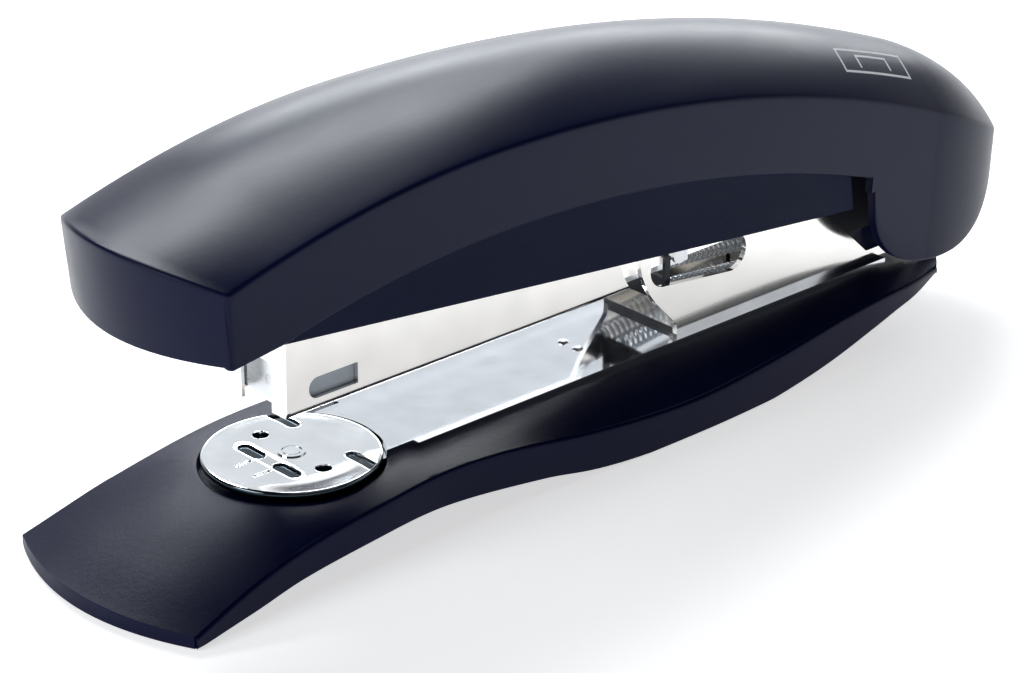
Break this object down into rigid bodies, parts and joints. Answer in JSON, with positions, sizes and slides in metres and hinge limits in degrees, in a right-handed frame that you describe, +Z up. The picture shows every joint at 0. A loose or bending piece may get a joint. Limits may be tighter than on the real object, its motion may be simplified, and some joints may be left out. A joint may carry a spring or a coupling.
{
  "type": "desk stapler",
  "caption": "Desk stapler with an arched hollow handle, a hinged staple magazine with a sprung pusher, a steel base plate with a turning anvil, and a wave-shaped moulded base.",
  "frame": {"origin": "bottom centre of the stapler's bounding box, on the table", "axes": "+X from the nose to the hinge, +Y across, +Z up"},
  "size_m": [0.2038, 0.045, 0.0683],
  "materials": {
    "cover_plastic": "satin, moulded, fine grain",
    "shell_plastic": "satin, moulded",
    "base_plastic": "satin, moulded, fine grain",
    "foot_rubber": "matt",
    "plate_steel": "polished nickel plate",
    "anvil_steel": "polished nickel plate",
    "bracket_steel": "bright nickel plate",
    "channel_steel": "bright nickel plate",
    "rail_steel": "zinc plate",
    "frame_steel": "black oxide",
    "pin_steel": "turned, bright",
    "blade_steel": "hardened, ground",
    "spring_steel": "drawn wire",
    "dark_steel": "black oxide",
    "dark_plastic": "moulded, plain",
    "pusher_plastic": "moulded, plain"
  },
  "bodies": {
    "base": {"base_shell": "base_plastic", "front_foot": "foot_rubber", "rear_foot": "foot_rubber", "base_plate": "plate_steel", "plate_rivets": "pin_steel", "base_screws": "pin_steel", "hinge_bracket": "bracket_steel", "bracket_rivets": "pin_steel", "hinge_pin": "pin_steel", "pin_clips": "dark_steel", "return_springs": "spring_steel"},
    "anvil": {"anvil_disc": "anvil_steel", "anvil_rivet": "pin_steel", "anvil_washer": "pin_steel"},
    "magazine": {"magazine_channel": "channel_steel", "staple_rail": "rail_steel", "guide_rod": "pin_steel", "rear_stop": "dark_steel", "magazine_arm": "channel_steel", "hinge_block": "dark_plastic", "stop_pin": "pin_steel", "spring_yoke": "dark_steel", "pusher_spring": "spring_steel"},
    "pusher": {"pusher": "pusher_plastic"},
    "handle": {"top_cover": "cover_plastic", "inner_shell": "shell_plastic", "handle_frame": "frame_steel", "frame_screws": "pin_steel", "driver_blade": "blade_steel", "blade_rivets": "pin_steel", "press_spring": "spring_steel"}
  },
  "joints": [
    {"name": "handle_swing", "type": "hinge", "parent": "base", "child": "handle", "pos_m": [0.0799, 0, 0.03], "axis": [0, 1, 0], "range_deg": [-7.1, 50], "stiffness_Nm_per_rad": 3, "springref_deg": 1.15, "deforming": ["press_spring"]},
    {"name": "magazine_drop", "type": "hinge", "parent": "base", "child": "magazine", "pos_m": [0.0799, 0, 0.03], "axis": [0, 1, 0], "range_deg": [-3.85, 0], "stiffness_Nm_per_rad": 1.5, "springref_deg": 5.73, "deforming": ["return_springs"]},
    {"name": "pusher_slide", "type": "slide", "parent": "magazine", "child": "pusher", "axis": [1, 0, 0], "range_m": [0, 0.048], "stiffness_N_per_m": 60, "springref_m": -0.03, "deforming": ["pusher_spring"]},
    {"name": "anvil_turn", "type": "hinge", "parent": "base", "child": "anvil", "pos_m": [-0.0595, 0, 0.0126], "axis": [0, 0, 1], "range_deg": [0, 180]}
  ]
}
